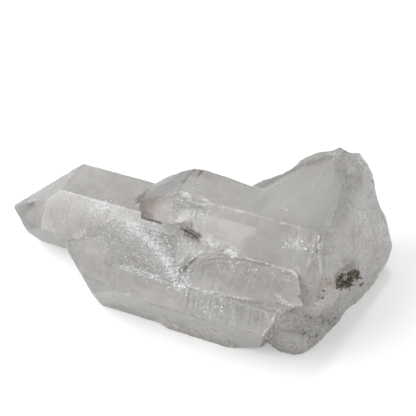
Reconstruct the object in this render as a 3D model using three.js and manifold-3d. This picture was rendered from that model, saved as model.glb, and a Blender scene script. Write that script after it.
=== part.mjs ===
// A hand specimen of clear quartz: flattened six-sided points that grew side by side, all
// pointing the same way, out of one broken base. Everything is one grown-together solid.
// Millimetres, +Z up. The points lie along X with their tips towards -X, and the specimen
// rests on the flat prism face under its front point.
import * as THREE from "three";
import { ConvexGeometry } from "three/addons/geometries/ConvexGeometry.js";
import { mergeVertices } from "three/addons/utils/BufferGeometryUtils.js";
import Module from "manifold-3d";

const wasm = await Module();
wasm.setup();

// Quartz keeps the same angles on every crystal: prism faces stand 60 degrees apart round
// the long axis, and each end face leans 38.2 degrees from the prism face below it.
const PRISM_FACES = { top: 90, frontUpper: 30, frontLower: -30, bottom: -90, backLower: -150, backUpper: 150 };
const END_FACE_LEAN = THREE.MathUtils.degToRad(38.2);

// Heights of the three flat tops above the table.
const FRONT_TOP = 20.9;
const REAR_TOP = 24.1;
const HIGH_TOP = 36.4;

const vector = (numbers) => new THREE.Vector3(...numbers);

// A closed geometry as a solid that can be joined and cut.
function solidOf(geometry) {
  const bare = geometry.clone();
  bare.deleteAttribute("normal");
  bare.deleteAttribute("uv");
  const merged = mergeVertices(bare, 1e-4);
  return new wasm.Manifold(
    new wasm.Mesh({
      numProp: 3,
      vertProperties: merged.attributes.position.array,
      triVerts: new Uint32Array(merged.index.array),
    }),
  );
}

// A solid pulled tight round these corners.
function lump(corners) {
  return solidOf(new ConvexGeometry(corners.map(vector)));
}

// A flat break or wall: a point on it and the direction that it looks in.
function planeAt({ at, facing }) {
  const normal = vector(facing).normalize();
  return new THREE.Plane(normal, -normal.dot(vector(at)));
}

// The solid that lies behind every plane. Its corners are where three planes meet.
function solidBehind(planes) {
  const corners = [];
  for (let i = 0; i < planes.length; i++)
    for (let j = i + 1; j < planes.length; j++)
      for (let k = j + 1; k < planes.length; k++) {
        const [a, b, c] = [planes[i], planes[j], planes[k]];
        const across = b.normal.clone().cross(c.normal);
        const det = a.normal.dot(across);
        if (Math.abs(det) < 1e-6) continue;
        const corner = across
          .multiplyScalar(-a.constant)
          .addScaledVector(c.normal.clone().cross(a.normal), -b.constant)
          .addScaledVector(a.normal.clone().cross(b.normal), -c.constant)
          .divideScalar(det);
        if (planes.every((p) => p.distanceToPoint(corner) < 1e-4)) corners.push(corner);
      }
  return solidOf(new ConvexGeometry(corners));
}

// One quartz point that lies along X, tip first. Each face of faces gives how far the prism
// wall stands from the line through the tip. Its end face runs through the tip itself, or
// starts at a second distance, along that line, where it grew further in. A chip is a break.
function quartzPoint({ tip, length, faces, chips = [] }) {
  const planes = [{ at: [tip[0] + length, 0, 0], facing: [1, 0, 0] }, ...chips].map(planeAt);
  for (const [name, degrees] of Object.entries(PRISM_FACES)) {
    const [wall, shoulder = wall / Math.tan(END_FACE_LEAN)] = faces[name];
    const angle = THREE.MathUtils.degToRad(degrees);
    const out = new THREE.Vector3(0, -Math.cos(angle), Math.sin(angle));
    const corner = out.clone().multiplyScalar(wall).add(vector(tip));
    planes.push(new THREE.Plane(out, -out.dot(corner)));
    const end = out.clone().multiplyScalar(Math.cos(END_FACE_LEAN));
    end.x = -Math.sin(END_FACE_LEAN);
    corner.x += shoulder;
    planes.push(new THREE.Plane(end, -end.dot(corner)));
  }
  return solidBehind(planes);
}

// A shell-shaped bite, as quartz breaks: deep is how far it goes in below at.
function bite({ at, facing, radius, deep }) {
  const centre = vector(at).addScaledVector(vector(facing).normalize(), radius - deep);
  const ball = new THREE.IcosahedronGeometry(radius, 5);
  ball.translate(...centre.toArray());
  return solidOf(ball);
}

// The long flat point at the rear left. Its underside is chipped in a curve near the tip.
const rearPoint = () => {
  const tip = [-51.5, -15, 8.8];
  return quartzPoint({
    tip,
    length: 80,
    faces: {
      top: [REAR_TOP - tip[2], 18.6],
      frontUpper: [11.6],
      frontLower: [6.5],
      bottom: [5.2],
      backLower: [6],
      backUpper: [14.9, 17.6],
    },
    chips: [
      { at: [-42.7, -24.5, 11.8], facing: [-0.52, -0.74, -0.43] },
      { at: [-40.9, -21.3, 6.1], facing: [-0.26, -0.75, -0.61] },
      { at: [-36.2, -19.7, 2.8], facing: [-0.06, -0.71, -0.7] },
    ],
  });
};

// The front point, which the specimen rests on. It ends on the right in a slanted break.
const frontPoint = () => {
  const tip = [-32.4, -22.1, 8.2];
  return quartzPoint({
    tip,
    length: 74,
    faces: {
      top: [FRONT_TOP - tip[2]],
      frontUpper: [20.8],
      frontLower: [13.5],
      bottom: [tip[2]],
      backLower: [7.6],
      backUpper: [13.4],
    },
    chips: [
      { at: [-27.8, -26.1, 10.4], facing: [-0.8, -0.58, 0.15] },
      { at: [29.4, -35.1, 3.6], facing: [0.31, -0.61, -0.73] },
      { at: [36, -40, 18], facing: [0.93, -0.1, -0.35] },
    ],
  });
};

// A low strip that grew along the bottom edge of the front point.
const bottomStrip = () =>
  lump([
    [1.6, -32.9, 0],
    [5, -34.1, 0],
    [22.5, -34.2, 0],
    [25.5, -32.9, 0],
    [1.6, -34.6, 3],
    [25.5, -34.6, 3],
    [5, -38, 8.9],
    [22.5, -38, 8.9],
    [5, -28, 0],
    [22.5, -28, 0],
    [5, -30, 8],
    [22.5, -30, 8],
  ]);

// The high point. Its back edge is chipped, and the corner under its tip has broken out.
const highPoint = () => {
  const tip = [-13.9, -15.7, 23.4];
  const point = quartzPoint({
    tip,
    length: 50,
    faces: {
      top: [HIGH_TOP - tip[2]],
      frontUpper: [12.7],
      frontLower: [16.2],
      bottom: [6],
      backLower: [6, 6.6],
      backUpper: [10.8, 9.5],
    },
    chips: [
      { at: [-14, -15.2, 23.3], facing: [-0.87, 0.43, 0.22] },
      { at: [-10.2, -8.9, 26.3], facing: [-0.59, 0.57, 0.57] },
      { at: [-8.3, -8.4, 27.8], facing: [-0.4, 0.64, 0.65] },
      { at: [-1.9, -9.6, 32.9], facing: [-0.33, 0.63, 0.7] },
      { at: [2.2, -11.5, HIGH_TOP], facing: [-0.17, 0.65, 0.75] },
      { at: [4.7, -10.8, HIGH_TOP], facing: [0.05, 0.65, 0.75] },
      { at: [12, -11.35, HIGH_TOP], facing: [0.1, 0.65, 0.75] },
    ],
  });
  const brokenCorner = solidBehind(
    [
      { at: [-1.2, -27, 29.2], facing: [0, 0.66, 0.75] },
      { at: [7.1, -27.3, 28.6], facing: [0.18, 0.7, 0.69] },
      { at: [10.9, -27.7, 28], facing: [0.68, 0.38, -0.62] },
      { at: [-30, 0, 0], facing: [-1, 0, 0] },
      { at: [0, -60, 0], facing: [0, -1, 0] },
      { at: [0, -10, 0], facing: [0, 1, 0] },
      { at: [0, 0, 10], facing: [0, 0, -1] },
    ].map(planeAt),
  );
  return point.subtract(brokenCorner);
};

// The short broken point that leans forward in the corner between the front and high points.
const smallPoint = () =>
  solidBehind(
    [
      { at: [21.7, -28.6, 26.8], facing: [0, -0.5, 0.87] },
      { at: [12, -37.8, 21.5], facing: [-0.68, -0.73, 0] },
      { at: [10, -35.8, 22.7], facing: [-0.94, -0.33, 0.12] },
      { at: [11.1, -32.7, 24.5], facing: [-0.77, 0.2, 0.61] },
      { at: [17.1, -29.6, 26.3], facing: [-0.25, 0.59, 0.77] },
      { at: [40.4, -32.1, 24.8], facing: [0.88, 0.46, 0.16] },
      { at: [30.8, -37.1, 22], facing: [0.12, -0.99, 0.06] },
      { at: [16.3, -38.4, 21.2], facing: [0.04, -0.99, 0.1] },
      { at: [0, 0, 18], facing: [0, 0, -1] },
      { at: [0, -22, 0], facing: [0, 1, 0] },
    ].map(planeAt),
  );

// The broken base: a thick stub behind and to the right, snapped off across all the points.
const stub = () =>
  lump([
    [22.5, -22.85, HIGH_TOP],
    [42.6, -22.85, HIGH_TOP],
    [41.3, -8, HIGH_TOP],
    [34.6, 4.8, HIGH_TOP],
    [28.3, -2.2, HIGH_TOP],
    [25.1, -8.3, HIGH_TOP],
    [22.5, -14, HIGH_TOP],
    [17.6, -9.8, 34],
    [26.4, 8.7, 34],
    [27.8, 10.9, 34],
    [32.1, 16, 34],
    [34.1, 15.1, 34],
    [36.9, 18.9, 32],
    [40.1, 19.8, 28.3],
    [42.7, 20, 24],
    [50.85, 12.4, 8.7],
    [50.5, 10.8, 5],
    [49.5, 12, 2],
    [41.2, -26.08, 30.8],
    [44.9, -29.9, FRONT_TOP],
    [22.5, -33.07, 18.7],
    [38, -33.07, 18.7],
    [46, -20, 14],
    [47.5, -5, 12],
    [44.4, -15.8, 0],
    [45.5, -7.4, 0],
    [47.2, -2.5, 0],
    [48.5, 5.6, 0],
    [45, 18, 0],
    [42.8, -23.7, 0],
    [41, -28, 0],
    [39, -29.8, 0],
    [32.5, -29.4, 0],
    [16, -22, 6],
    [18, -2, 6],
    [26, 14, 0],
  ]);

// The low right corner of the base, level with the top of the front point.
const lowCorner = () =>
  lump([
    [37.1, -37, FRONT_TOP],
    [41.2, -34, FRONT_TOP],
    [44.9, -29.9, FRONT_TOP],
    [45, -22, FRONT_TOP],
    [28, -28, FRONT_TOP],
    [42.8, -23.7, 0],
    [41, -28, 0],
    [39, -29.8, 0],
    [35.4, -30.2, 0],
    [32.5, -29.4, 0],
    [28, -24, 0],
  ]);

// The pocket in the broken end, where dirt has lodged.
const pocket = () =>
  lump([
    [46.2, -20.8, 23],
    [47.3, -11.5, 19.8],
    [48.7, -6.2, 13.3],
    [48.4, -7.3, 9.6],
    [47.6, -15.3, 13.6],
    [46.8, -21.6, 18.8],
    [42.4, -18.5, 20],
    [43.2, -12, 16.5],
    [43.2, -13.5, 13.5],
  ]);

// Two open cracks at the broken corner of the high point.
const cracks = [
  [
    [-9, -21.4, 22.4],
    [-9, -21.4, 23.3],
    [-8.6, -17.6, 23.1],
    [-2.6, -21.4, 22.6],
    [-2.6, -21.4, 23.1],
    [-3.2, -17.6, 22.9],
  ],
  [
    [6, -27.8, 29.1],
    [7.3, -27.6, 29.3],
    [9.3, -27.8, 29.1],
    [11.4, -28.3, 28.2],
    [9, -28.4, 28.1],
    [7, -28.1, 28.5],
    [7.4, -24.7, 27.2],
    [10.2, -25, 26.9],
    [8.6, -25.1, 26.6],
  ],
];

// Shell-shaped breaks: along the rim of the stub, in the low corner, on the back, and on the
// bruised edge near the shoulder of the high point.
const bites = [
  { at: [22, 0, 33.4], facing: [-0.6, 0.3, 0.6], radius: 20, deep: 1 },
  { at: [30, 13.5, 34], facing: [-0.3, 0.5, 0.8], radius: 7, deep: 0.5 },
  { at: [36, 17, 33], facing: [0, 0.6, 0.8], radius: 6, deep: 0.7 },
  { at: [43.5, 19.2, 22.4], facing: [0.92, 0.4, 0], radius: 11, deep: 1.6 },
  { at: [40.9, -32.6, 15.3], facing: [0.65, -0.73, -0.21], radius: 9, deep: 2.6 },
  { at: [38.6, -32.6, 8], facing: [0.58, -0.79, -0.22], radius: 7, deep: 1.6 },
  { at: [43.9, -25.5, 8.8], facing: [0.96, -0.22, -0.16], radius: 10, deep: 1.8 },
  { at: [45.6, -17, 8], facing: [0.97, -0.2, -0.17], radius: 12, deep: 1.3 },
  { at: [46.3, -8.2, 1], facing: [0.96, -0.2, -0.2], radius: 14, deep: 0.9 },
  { at: [33, 16.5, 16], facing: [-0.1, 0.98, 0.1], radius: 26, deep: 1.8 },
  { at: [41, 18, 12], facing: [0.2, 0.95, 0.1], radius: 14, deep: 1.2 },
  { at: [4.8, -22.9, HIGH_TOP], facing: [-0.1, -0.5, 0.86], radius: 9, deep: 0.8 },
  { at: [8.4, -22.9, HIGH_TOP], facing: [0.1, -0.4, 0.9], radius: 8, deep: 0.6 },
  { at: [5.4, -24.6, 33.6], facing: [-0.1, -0.87, 0.4], radius: 11, deep: 0.4 },
];

// Growth lines: shallow grooves straight across the upper front face of the front point.
// Each is the distance along X from the first one.
const GROWTH_LINE_START = 12.6;
const GROWTH_LINE_DEPTH = 0.18;
const growthLines = [0, 1.3, 3.1, 4.2, 6.3, 7.5, 9.7, 10.6, 12.9, 14.3, 16.8, 18.1, 20.2].map((along, i) => {
  const halfWidth = 0.25 + 0.12 * (i % 3);
  const reach = 0.35 * (i % 4);
  const x = GROWTH_LINE_START + along;
  const inside = [0, 0.87 * GROWTH_LINE_DEPTH, -0.5 * GROWTH_LINE_DEPTH];
  const [highY, highZ, lowY, lowZ] = [-38.4 - 0.5 * reach, 21.6 - reach, -42.4, 14.7];
  return lump([
    [x - halfWidth, highY - 0.3, highZ],
    [x + halfWidth, highY - 0.3, highZ],
    [x - halfWidth, lowY - 0.3, lowZ],
    [x + halfWidth, lowY - 0.3, lowZ],
    [x, highY + inside[1], highZ + inside[2]],
    [x, lowY + inside[1], lowZ + inside[2]],
  ]);
});

const grown = [rearPoint(), frontPoint(), bottomStrip(), highPoint(), smallPoint(), stub(), lowCorner()];
const broken = [pocket(), ...cracks.map(lump), ...bites.map(bite), ...growthLines];
let body = grown.reduce((whole, point) => whole.add(point));
for (const piece of broken) body = body.subtract(piece);

// The origin is under the middle of the specimen, on the table.
const { min, max } = body.boundingBox();
body = body.translate([-(min[0] + max[0]) / 2, -(min[1] + max[1]) / 2, -min[2]]);

const outer = body.getMesh();
const surface = new THREE.BufferGeometry();
surface.setAttribute("position", new THREE.BufferAttribute(outer.vertProperties, outer.numProp));
surface.setIndex(new THREE.BufferAttribute(outer.triVerts, 1));

const clearQuartz = new THREE.MeshStandardMaterial({ color: 0xc9c8c4, roughness: 0.2, flatShading: true });
const cluster = new THREE.Mesh(surface, clearQuartz);
cluster.name = "quartz_cluster";
const specimen = new THREE.Group();
specimen.add(cluster);
export default specimen;
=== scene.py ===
# %% [markdown]
# # A hand specimen of clear quartz
# Flattened quartz points grew side by side out of one base, and the base was snapped off
# its rock. The packed solid already holds the flat faces, the ledges and the large breaks.
# This notebook turns it into a lifelike crystal: growth lines, etched pits, shell-shaped
# ripples, bruised edges, cloudy glass and a little dirt. Blender works in metres here, and
# a number that is multiplied by MM is in millimetres.

# %% Load the packed solid
import math
from itertools import product

import bmesh
import bpy
import numpy as np
from mathutils import Matrix, Vector
from mathutils.bvhtree import BVHTree
from mathutils.kdtree import KDTree


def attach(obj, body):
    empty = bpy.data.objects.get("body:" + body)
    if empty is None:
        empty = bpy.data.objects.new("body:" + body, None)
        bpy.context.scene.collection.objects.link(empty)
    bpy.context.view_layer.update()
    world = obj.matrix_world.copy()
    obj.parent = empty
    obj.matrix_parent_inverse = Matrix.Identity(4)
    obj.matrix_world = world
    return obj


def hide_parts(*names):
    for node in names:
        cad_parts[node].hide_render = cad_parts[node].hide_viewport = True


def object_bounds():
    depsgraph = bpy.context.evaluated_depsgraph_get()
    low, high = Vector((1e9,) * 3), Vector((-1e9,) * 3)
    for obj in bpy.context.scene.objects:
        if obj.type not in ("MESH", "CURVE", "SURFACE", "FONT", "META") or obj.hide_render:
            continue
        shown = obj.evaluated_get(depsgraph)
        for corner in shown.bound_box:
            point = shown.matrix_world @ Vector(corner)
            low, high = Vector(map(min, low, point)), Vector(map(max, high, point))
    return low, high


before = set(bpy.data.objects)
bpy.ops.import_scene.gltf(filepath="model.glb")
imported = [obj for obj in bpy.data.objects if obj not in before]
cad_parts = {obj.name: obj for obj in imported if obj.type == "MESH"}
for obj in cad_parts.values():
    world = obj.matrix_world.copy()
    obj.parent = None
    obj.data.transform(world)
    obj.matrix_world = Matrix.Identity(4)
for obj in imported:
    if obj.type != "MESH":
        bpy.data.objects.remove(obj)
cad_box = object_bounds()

MM = 0.001
box_low, box_high = (np.array(corner) for corner in cad_box)
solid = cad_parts["quartz_cluster"]
print("solid:", solid.name, len(solid.data.polygons), "faces")
print("its size:", ((box_high - box_low) / MM).round(2), "mm")

# %% [markdown]
# ## The camera
# The photo was taken from the front left, 38 degrees above the table. A long lens from
# 0.4 m away keeps the crystal edges nearly parallel, as they look in the photo. The camera
# comes first, because the next steps find spots on the crystal by looking through it.

# %% Make the camera
AZIMUTH = math.radians(24)
ELEVATION = math.radians(38)
CAMERA_PLACE = Vector((131.475, -280.193, 264.21)) * MM
PHOTO_SIDE = 416
# from the camera to about the middle of the specimen, and what a pixel spans there, in mm
CAMERA_DISTANCE = 400
PIXEL_SPAN = 0.27
PIXELS_PER_FOCAL = CAMERA_DISTANCE / PIXEL_SPAN
SENSOR_WIDTH = 36


def placed(name, data):
    """A new object, linked to the scene."""
    thing = bpy.data.objects.new(name, data)
    bpy.context.scene.collection.objects.link(thing)
    return thing


lens_data = bpy.data.cameras.new("camera")
lens_data.sensor_width = SENSOR_WIDTH
lens_data.lens = SENSOR_WIDTH * PIXELS_PER_FOCAL / PHOTO_SIDE
lens_data.clip_start = 0.01
camera = placed("camera", lens_data)
camera.location = CAMERA_PLACE
camera.rotation_euler = (math.pi / 2 - ELEVATION, 0, AZIMUTH)
bpy.context.scene.camera = camera
print("lens", round(lens_data.lens, 1), "mm")

# %% [markdown]
# ## Finding spots on the crystal
# Stains, frosty patches and cracks have to lie on the faces where the photo shows them. A
# ray through a pixel of the photo gives the point on the solid, so each spot is named by
# its pixel and then lives in 3-D, where it also holds from other sides.

# %% A ray from the camera to the solid
VIEW = camera.rotation_euler.to_matrix()


def tree_of(mesh):
    """Finds where rays meet a mesh, and what lies nearest to a place."""
    corners = [v.co for v in mesh.vertices]
    return BVHTree.FromPolygons(corners, [p.vertices for p in mesh.polygons])


solid_tree = tree_of(solid.data)


def seen_through(surface, u, v):
    """Where the ray through a pixel of the photo first meets a surface."""
    half = PHOTO_SIDE / 2
    towards = VIEW @ Vector((u - half, half - v, -PIXELS_PER_FOCAL))
    return surface.ray_cast(CAMERA_PLACE, towards.normalized())


def on_crystal(u, v):
    """The point of the solid that the photo shows at this pixel."""
    place = seen_through(solid_tree, u, v)[0]
    if place is None:
        raise ValueError(f"no crystal at pixel {u}, {v}")
    return np.array(place)


print("tip of the small point:", on_crystal(200, 270).round(4))

# %% [markdown]
# ## A fine mesh with crisp edges
# The packed solid has large triangles. To carry ripples and pits it needs many small ones,
# and the crystal edges must stay sharp. A voxel remesh would round them, so this uses the
# Remesh modifier in sharp mode, which keeps flat faces flat and edges crisp.

# %% Remesh the solid
FINE_DEPTH = 9
SAME_PLACE = 0.001 * MM


def welded(mesh, name):
    """A copy of the mesh in which corners at the same place are one."""
    shape = bmesh.new()
    shape.from_mesh(mesh)
    bmesh.ops.remove_doubles(shape, verts=shape.verts, dist=SAME_PLACE)
    made = bpy.data.meshes.new(name)
    shape.to_mesh(made)
    shape.free()
    return made


def with_modifiers(piece):
    """Puts what the modifiers make into the piece's own mesh."""
    seen = piece.evaluated_get(bpy.context.evaluated_depsgraph_get())
    piece.data = bpy.data.meshes.new_from_object(seen)
    piece.modifiers.clear()


crystal = placed("quartz_crystals", welded(solid.data, "quartz_crystals"))
fine = crystal.modifiers.new("fine", "REMESH")
fine.mode = "SHARP"
fine.octree_depth = FINE_DEPTH
fine.scale = 0.99
with_modifiers(crystal)
print("fine mesh:", len(crystal.data.vertices), "points")

# %% [markdown]
# ## Roughness with a scale
# Natural surfaces are uneven at several sizes. Two kinds of random values do the work:
# soft hills, for waviness and stains, and cells, for etch pits. Both come from a fixed
# table, so each run of this notebook gives the same crystal. Each use has a turn of its
# own, which moves it to another part of the table. A Displace modifier with a texture is
# quicker to set up, but it treats all faces alike, and here every face has its own kind.

# %% Soft hills and cells
chance = np.random.default_rng(41)
TABLE_SIDE = 32
HEIGHTS = chance.random((TABLE_SIDE,) * 3)
SEEDS = chance.random((TABLE_SIDE,) * 3 + (3,))
HILL_TURN = 5.3
PIT_TURN = 3.7
FAR = 9.0


def looked_up(table, cell):
    """What the table holds for these cells. It repeats on all sides."""
    return table[tuple((cell % TABLE_SIDE).T)]


def hills(places, size, turn=0.0):
    """Soft random values from -1 to 1, with a hill about every size mm."""
    q = places / (size * MM) + HILL_TURN * turn
    cell = np.floor(q).astype(int)
    part = q - cell
    part = part * part * (3 - 2 * part)
    total = np.zeros(len(places))
    for corner in product((0, 1), repeat=3):
        weight = np.where(corner, part, 1 - part).prod(axis=1)
        total += weight * looked_up(HEIGHTS, cell + corner)
    return 2 * total - 1


def pits(places, size, turn=0.0):
    """1 in the middle of each random cell, and 0 from half a cell away."""
    q = places / (size * MM) + PIT_TURN * turn
    cell = np.floor(q).astype(int)
    nearest = np.full(len(places), FAR)
    for offset in product((-1, 0, 1), repeat=3):
        other = cell + offset
        away = np.linalg.norm(other + looked_up(SEEDS, other) - q, axis=1)
        nearest = np.minimum(nearest, away)
    return np.clip(1 - nearest / 0.5, 0, 1)


def eased(values):
    """Values kept between 0 and 1, with a soft start and end."""
    values = np.clip(values, 0, 1)
    return values * values * (3 - 2 * values)


print("one hill:", hills(np.zeros((1, 3)), 2).round(3))

# %% [markdown]
# ## Marks that follow lines
# A crack, a bruised edge or a rust stain runs along a line or lies round a spot. Painting
# it by hand on the mesh couldn't be repeated, so each mark is a row of pixels of the photo
# with a width. Its strength at a point of the mesh falls with the distance from that line,
# and soft hills break up its outline.

# %% Strength of a mark
ENDS_AT = 1.25


def along(places, stops):
    """How far each place is from the line through the stops, in millimetres."""
    best = np.full(len(places), 1e9)
    for a, b in zip(stops, stops[1:] or stops):
        run = b - a
        length = max(run @ run, 1e-12)
        share = np.clip((places - a) @ run / length, 0, 1)
        best = np.minimum(best, np.linalg.norm(places - a - share[:, None] * run, axis=1))
    return best / MM


def mark(places, pixels, width, ragged, grain):
    """1 on the line and 0 from ENDS_AT widths away. ragged breaks it into grains."""
    reach = along(places, [on_crystal(u, v) for u, v in pixels]) / width
    broken = ragged * (0.5 + 0.9 * hills(places, grain, width))
    return eased(ENDS_AT - reach - broken)


def painted(places, marks, ragged):
    """The strongest mark at each place. A mark is its pixels, width, strength and grain."""
    whole = np.zeros(len(places))
    for pixels, width, strength, grain in marks:
        whole = np.maximum(whole, strength * mark(places, pixels, width, ragged, grain))
    return whole


SPOT = (200, 270)
on_spot = on_crystal(*SPOT)[None]
print("on its line a mark is", mark(on_spot, [SPOT], width=2, ragged=0, grain=1))

# %% [markdown]
# ## Which face is which
# The faces of quartz look different. Growth faces are smooth with fine lines straight
# across the crystal, the top of the front point is etched all over, and the broken base is
# rippled like thick glass. Picking them by hand would take long on so many points, so the
# direction of the nearest large face tells them apart. Each mask is 1 on its faces and 0
# elsewhere.

# %% Sort the mesh by face
TOP = (0, 0, 1)
SMALL_POINT_TOP = (0, -0.5, 0.866)
END_LEAN = math.radians(38.2)
SAME_WAY = 0.9995
GROWN_WAYS = [Vector(SMALL_POINT_TOP)]
for degrees in range(-90, 270, 60):
    slope = math.radians(degrees)
    wall = Vector((0, -math.cos(slope), math.sin(slope)))
    GROWN_WAYS += [wall, wall * math.cos(END_LEAN) - Vector((math.sin(END_LEAN), 0, 0))]


def face_ways(places):
    """The outward direction of the solid's face nearest to each place."""
    return np.array([solid_tree.find_nearest(p)[1] for p in places])


def facing(ways, wanted):
    """1 where the nearest face looks the wanted way, 0 elsewhere."""
    return (ways @ np.array(wanted) > SAME_WAY).astype(float)


print(len(GROWN_WAYS), "directions of growth faces")

# %% Masks of the faces
# the heights in mm between which the top of the front point lies
FRONT_TOP_BAND = (20, 21.5)


def grown(ways):
    """Faces that grew, not breaks."""
    return np.max([facing(ways, way) for way in GROWN_WAYS], axis=0)


def long_faces(ways):
    """Growth faces that run along the crystals."""
    return grown(ways) * (np.abs(ways[:, 0]) < 0.01)


def front_top(places, ways):
    """The etched top of the front point."""
    lower, upper = FRONT_TOP_BAND
    in_band = (places[:, 2] > lower * MM) & (places[:, 2] < upper * MM)
    return facing(ways, TOP) * in_band.astype(float)


def turned_away(ways):
    """Faces that the photo doesn't show."""
    return eased(0.5 - 4 * (ways @ np.array(VIEW.col[2])))


def numbers(mesh, what):
    """A mesh's co or normal values as one row for each point."""
    flat = np.empty(len(mesh.vertices) * 3)
    mesh.vertices.foreach_get(what, flat)
    return flat.reshape(-1, 3)


print("the spot lies on a growth face:", bool(grown(face_ways(on_spot))[0]))

# %% [markdown]
# ## A softer broken base
# The packed solid draws the broken base with a few large flat facets. The real break is one
# smooth curved surface. A bevel would leave flat strips, so the Smooth modifier evens out
# these points only. The crystal faces, the pocket and the cracks keep their crisp edges.

# %% Choose the points of the base
# the rim of the pocket in pixels of the photo
POCKET = [(336, 286), (339, 277), (345, 273), (351, 266), (360, 272)]
POCKET += [(357, 280), (355, 284), (352, 289), (345, 288)]
POCKET_MIDDLE = (348, 280)
POCKET_RADIUS = 4.5
POCKET_RIM = 1.0
# the base lies beyond this place along X and below this height, in metres
BASE_STARTS = 0.016
BASE_TOP = 0.026

places = numbers(crystal.data, "co")
ways = face_ways(places)
rim = [on_crystal(u, v) for u, v in POCKET + POCKET[:1]]
from_middle = np.linalg.norm(places - on_crystal(*POCKET_MIDDLE), axis=1)
clear_of_pocket = (along(places, rim) > POCKET_RIM) & (from_middle > POCKET_RADIUS * MM)
in_base = (places[:, 0] > BASE_STARTS) & (places[:, 2] < BASE_TOP)
base = (grown(ways) < 0.5) & in_base & clear_of_pocket
print("the base has", round(100 * float(base.mean())), "% of the points")

# %% Round off the base
SOFT_ROUNDS = 160


def soften(piece, chosen, rounds):
    """Evens out the chosen points of a piece."""
    part = piece.vertex_groups.new(name="soft")
    part.add(np.flatnonzero(chosen).tolist(), 1.0, "REPLACE")
    smooth = piece.modifiers.new("soften", "SMOOTH")
    smooth.vertex_group = "soft"
    smooth.factor = 0.5
    smooth.iterations = rounds
    with_modifiers(piece)


soften(crystal, base, SOFT_ROUNDS)
print("softened in", SOFT_ROUNDS, "rounds")

# %% [markdown]
# ## Relief
# Every change pushes points a little way into the crystal, never out of it, so the model
# keeps its size. Shares of a millimetre are enough: glass shows very shallow relief, because
# each slope bends the light. It could be sculpted by hand, but depths worked out from the
# place of each point can be repeated and changed. Edges wear most and the relief of a face
# fades out before them, so the distance from the edges comes first. Every depth and width
# in these cells is in millimetres.

# %% Distance from the crystal edges
EDGE_STEP = 0.2
LEAST_BEND = math.radians(12)


def edges_of(mesh):
    """Points along the edges of the solid: the outward ones, and all of them."""
    shape = bmesh.new()
    shape.from_mesh(mesh)
    bmesh.ops.remove_doubles(shape, verts=shape.verts, dist=SAME_PLACE)
    outward, every = [], []
    for edge in shape.edges:
        bend = edge.calc_face_angle_signed() if len(edge.link_faces) == 2 else 0
        if abs(bend) < LEAST_BEND:
            continue
        a, b = (v.co for v in edge.verts)
        steps = max(1, int((b - a).length / (EDGE_STEP * MM)))
        row = [a.lerp(b, i / steps) for i in range(steps + 1)]
        every += row
        outward += row if bend > 0 else []
    shape.free()
    return outward, every


def tree_of_points(row):
    """Finds the nearest of these points quickly."""
    tree = KDTree(len(row))
    for i, place in enumerate(row):
        tree.insert(place, i)
    tree.balance()
    return tree


def away_from(tree, places):
    """Millimetres from each place to the nearest point of the tree."""
    return np.array([tree.find(p)[2] for p in places]) / MM


outward_edges, every_edge = edges_of(solid.data)
outward_tree = tree_of_points(outward_edges)
edge_tree = tree_of_points(every_edge)
print(len(outward_edges), "points along outward edges,", len(every_edge), "along all")

# %% [markdown]
# ### Growth lines and etch pits
# Quartz grows in thin layers, which leave steps straight across the long faces. Etching
# eats round and square pits into a face. Noise that is drawn out across the crystals gives
# the steps, and two sizes of cells the pits.

# %% Relief of the faces that grew
ACROSS = (1, 0.08, 0.08)
# depth in mm, size in mm and turn of each layer of hills
GROWTH_STEPS = [(0.045, 0.9, 1), (0.05, 2.3, 2), (0.02, 0.5, 5)]


def layered(places, layers):
    """Hills of several sizes, added up."""
    return sum(depth * hills(places, size, turn) for depth, size, turn in layers)


def growth_lines(places):
    """Steps straight across the crystals."""
    return layered(places * ACROSS, GROWTH_STEPS)


def etched(places):
    """Pits of two sizes, side by side, the larger ones a little longer than wide."""
    longer = places * (0.8, 1, 1)
    return 0.16 * pits(longer, 1.5, 1) + 0.1 * pits(places, 0.8, 2) + 0.06 * hills(places, 0.7, 3)


print("a growth step:", growth_lines(on_spot).round(3), "mm; a pit:", etched(on_spot).round(3), "mm")

# %% [markdown]
# ### Breaks
# Quartz breaks like thick glass, in shell-shaped ripples over soft hollows. Where it was
# knocked it is crushed to little lumps, and one broken corner has ridges that fan out.
# Folded noise, with its values turned positive, gives the lumps their sharp tops.

# %% Relief of the breaks
# where the ripples spread from, and how far they are bent, in metres
RIPPLE_MIDDLE = np.array((0.02, -0.01, 0.05))
RIPPLE_BEND = 0.0012
FAN_BEND = 0.0006
RIPPLE_WIDTH = 0.35
# depth in mm, size in mm and turn of each layer of hills
BREAK_LUMPS = [(0.03, 2.2, 5), (0.2, 7, 6), (0.006, 0.8, 8)]
FAN_RIDGES = [(0.1, 0.9, 18), (0.05, 0.45, 19)]
CRUSHED_SIZES = (2.1, 1.2, 0.7, 0.45)


def broken_open(places):
    """Shell-shaped ripples over larger hollows."""
    bent = places + RIPPLE_BEND * hills(places, 9, 4)[:, None]
    ripple = np.sin(np.linalg.norm(bent - RIPPLE_MIDDLE, axis=1) / (RIPPLE_WIDTH * MM))
    return layered(places, BREAK_LUMPS) + 0.012 * ripple * eased(hills(places, 5, 7))


def crushed(places):
    """Little lumps with sharp tops, where the crystal was knocked."""
    return 0.28 * sum(size * np.abs(hills(places, size, 14 + size)) for size in CRUSHED_SIZES)


def feathered(places):
    """Fine ridges that fan out down the broken corner."""
    fanned = places * (1, 0.15, 0.15) + FAN_BEND * hills(places, 4, 17)[:, None]
    return layered(fanned, FAN_RIDGES)


print("a crushed lump:", crushed(on_spot).round(2), "mm")

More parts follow.
